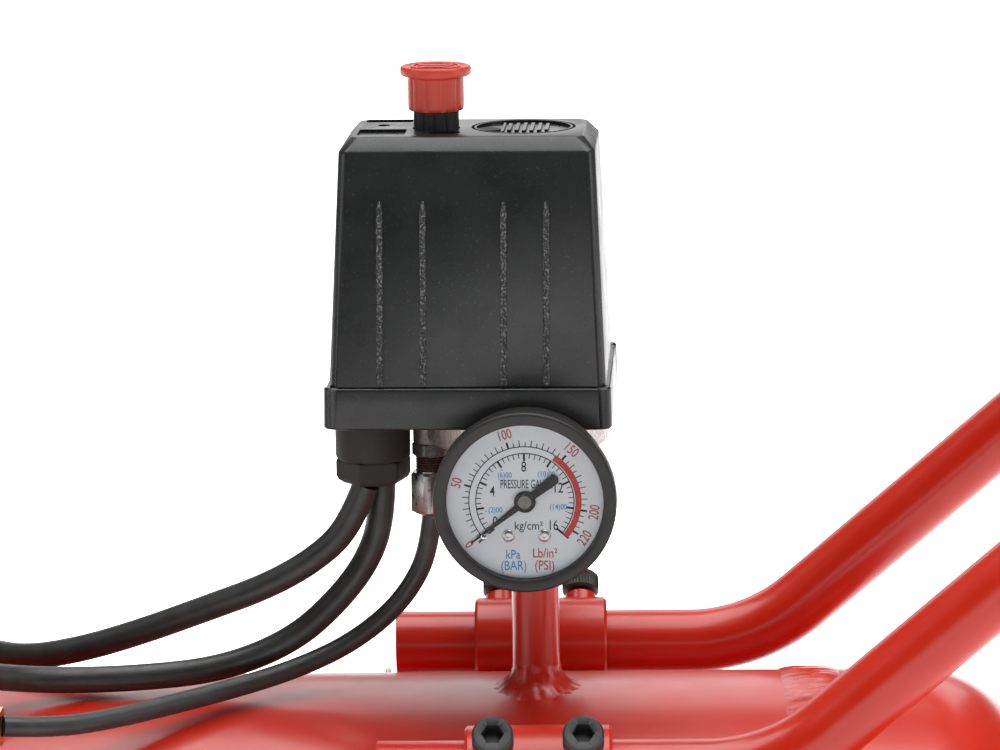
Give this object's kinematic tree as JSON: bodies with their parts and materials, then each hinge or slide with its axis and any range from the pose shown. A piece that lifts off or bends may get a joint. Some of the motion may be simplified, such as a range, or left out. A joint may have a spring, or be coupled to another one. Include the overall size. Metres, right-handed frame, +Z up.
{
  "type": "air compressor",
  "caption": "Portable direct-drive air compressor: horizontal tank on wheels, pump and motor, pressure switch with push knob, dial gauge, outlet and pull handle.",
  "frame": {"origin": "on the floor at the centre of the machine's box, cords aside", "axes": "+Z up, +X along the tank towards the pull handle, -Y the side with the gauge"},
  "size_m": [0.714, 0.304, 0.514],
  "materials": {
    "red_paint": "glossy powder coat",
    "switch_plastic": "satin moulded",
    "knob_red": "satin",
    "stem_plastic": "satin",
    "zinc": "die cast",
    "aluminium": "sand cast",
    "cast_iron": "machined and painted",
    "steel": "zinc plated",
    "chrome": "bright plated",
    "brass": "turned",
    "black_oxide": "black oxide",
    "gauge_black": "satin black",
    "dial_white": "printed",
    "glass": "clear",
    "pointer_black": "matt",
    "black_plastic": "textured",
    "rubber": "moulded",
    "tyre": "moulded",
    "cord_rubber": "smooth",
    "laminate": "laminated",
    "button_red": "smooth"
  },
  "bodies": {
    "root": {"tank_shell": "red_paint", "tank_heads": "red_paint", "tank_sockets": "red_paint", "weld_beads": "red_paint", "handle_sleeves": "red_paint", "wheel_bracket": "red_paint", "foot_bracket": "red_paint", "rubber_feet": "rubber", "wheel_bolts": "steel", "check_valve": "brass", "delivery_pipe": "aluminium", "safety_valve": "brass", "pump_platform": "red_paint", "vibration_mounts": "rubber", "crankcase": "aluminium", "crankcase_cover": "aluminium", "cylinder": "cast_iron", "cylinder_head": "aluminium", "head_bolts": "steel", "air_filter": "black_plastic", "piston": "aluminium", "motor_housing": "aluminium", "stator": "laminate", "fan_cover": "black_plastic", "terminal_box": "black_plastic", "mains_cord": "cord_rubber", "mains_cord_coil": "cord_rubber", "mains_plug": "cord_rubber", "motor_lead": "cord_rubber", "unloader_tube": "cord_rubber", "switch_base": "switch_plastic", "switch_cover": "switch_plastic", "switch_mechanism": "steel", "manifold": "zinc", "cable_gland": "black_plastic", "unloader_valve": "steel", "gauge_case": "gauge_black", "gauge_dial": "dial_white", "gauge_lens": "glass", "regulator": "zinc", "coupler": "brass"},
    "handle": {"handle_tube": "red_paint", "handle_grip": "rubber"},
    "knob": {"knob_stem": "stem_plastic", "knob_cap": "knob_red"},
    "pointer": {"gauge_pointer": "pointer_black"},
    "front_wheel": {"wheel_front": "tyre"},
    "rear_wheel": {"wheel_rear": "tyre"},
    "rotor": {"crankshaft": "steel", "motor_fan": "black_plastic"},
    "rod": {"connecting_rod": "aluminium"},
    "safety_pull": {"safety_ring": "steel"},
    "drain_tap": {"drain_cock": "brass"},
    "regulator_dial": {"regulator_knob": "black_plastic"},
    "coupler_ring": {"coupler_sleeve": "chrome"},
    "reset": {"reset_button": "button_red"},
    "clamp_screw_front_left_body": {"clamp_screw_front_left": "black_oxide"},
    "clamp_screw_front_right_body": {"clamp_screw_front_right": "black_oxide"},
    "clamp_screw_rear_left_body": {"clamp_screw_rear_left": "black_oxide"},
    "clamp_screw_rear_right_body": {"clamp_screw_rear_right": "black_oxide"}
  },
  "joints": [
    {"name": "handle_slide", "type": "slide", "parent": "root", "child": "handle", "axis": [1, 0, 0], "range_m": [-0.02, 0.06]},
    {"name": "knob_push", "type": "slide", "parent": "root", "child": "knob", "axis": [0, 0, 1], "range_m": [-0.005, 0]},
    {"name": "gauge_pointer_turn", "type": "hinge", "parent": "root", "child": "pointer", "pos_m": [0.04866, -0.04775, 0.37], "axis": [0.0365, 0.9993, 0], "range_deg": [0, 263], "stiffness_Nm_per_rad": 0.0004},
    {"name": "front_wheel_spin", "type": "hinge", "parent": "root", "child": "front_wheel", "pos_m": [-0.255, -0.132, 0.065], "axis": [0, 1, 0], "continuous": true},
    {"name": "rear_wheel_spin", "type": "hinge", "parent": "root", "child": "rear_wheel", "pos_m": [-0.255, 0.132, 0.065], "axis": [0, 1, 0], "continuous": true},
    {"name": "rotor_spin", "type": "hinge", "parent": "root", "child": "rotor", "pos_m": [-0.172, 0, 0.389], "axis": [1, 0, 0], "continuous": true},
    {"name": "rod_turn", "type": "hinge", "parent": "rotor", "child": "rod", "pos_m": [-0.172, 0, 0.399], "axis": [1, 0, 0], "continuous": true},
    {"name": "safety_pull_out", "type": "slide", "parent": "root", "child": "safety_pull", "axis": [0, 0.8746, 0.4848], "range_m": [0, 0.003], "stiffness_N_per_m": 800},
    {"name": "drain_turn", "type": "hinge", "parent": "root", "child": "drain_tap", "pos_m": [-0.06, 0, 0.045], "axis": [0, 0, 1], "range_deg": [0, 360]},
    {"name": "regulator_turn", "type": "hinge", "parent": "root", "child": "regulator_dial", "pos_m": [0.05239, 0.03798, 0.342], "axis": [0, 0, 1], "range_deg": [-360, 360]},
    {"name": "coupler_pull", "type": "slide", "parent": "root", "child": "coupler_ring", "axis": [-0.0365, -0.9993, 0], "range_m": [0, 0.005], "stiffness_N_per_m": 800},
    {"name": "reset_press", "type": "slide", "parent": "root", "child": "reset", "axis": [0, 1, 0], "range_m": [0, 0.003], "stiffness_N_per_m": 500},
    {"name": "clamp_screw_front_left_turn", "type": "hinge", "parent": "root", "child": "clamp_screw_front_left_body", "pos_m": [0.0393, -0.08523, 0.30913], "axis": [0, -0.7071, 0.7071], "range_deg": [0, 360]},
    {"name": "clamp_screw_front_right_turn", "type": "hinge", "parent": "root", "child": "clamp_screw_front_right_body", "pos_m": [0.0647, -0.08523, 0.30913], "axis": [0, -0.7071, 0.7071], "range_deg": [0, 360]},
    {"name": "clamp_screw_rear_left_turn", "type": "hinge", "parent": "root", "child": "clamp_screw_rear_left_body", "pos_m": [0.0393, 0.08523, 0.30913], "axis": [0, 0.7071, 0.7071], "range_deg": [0, 360]},
    {"name": "clamp_screw_rear_right_turn", "type": "hinge", "parent": "root", "child": "clamp_screw_rear_right_body", "pos_m": [0.0647, 0.08523, 0.30913], "axis": [0, 0.7071, 0.7071], "range_deg": [0, 360]}
  ],
  "couplings": [
    {"joint": "rod_turn", "follows": "rotor_spin", "ratio": -1}
  ]
}
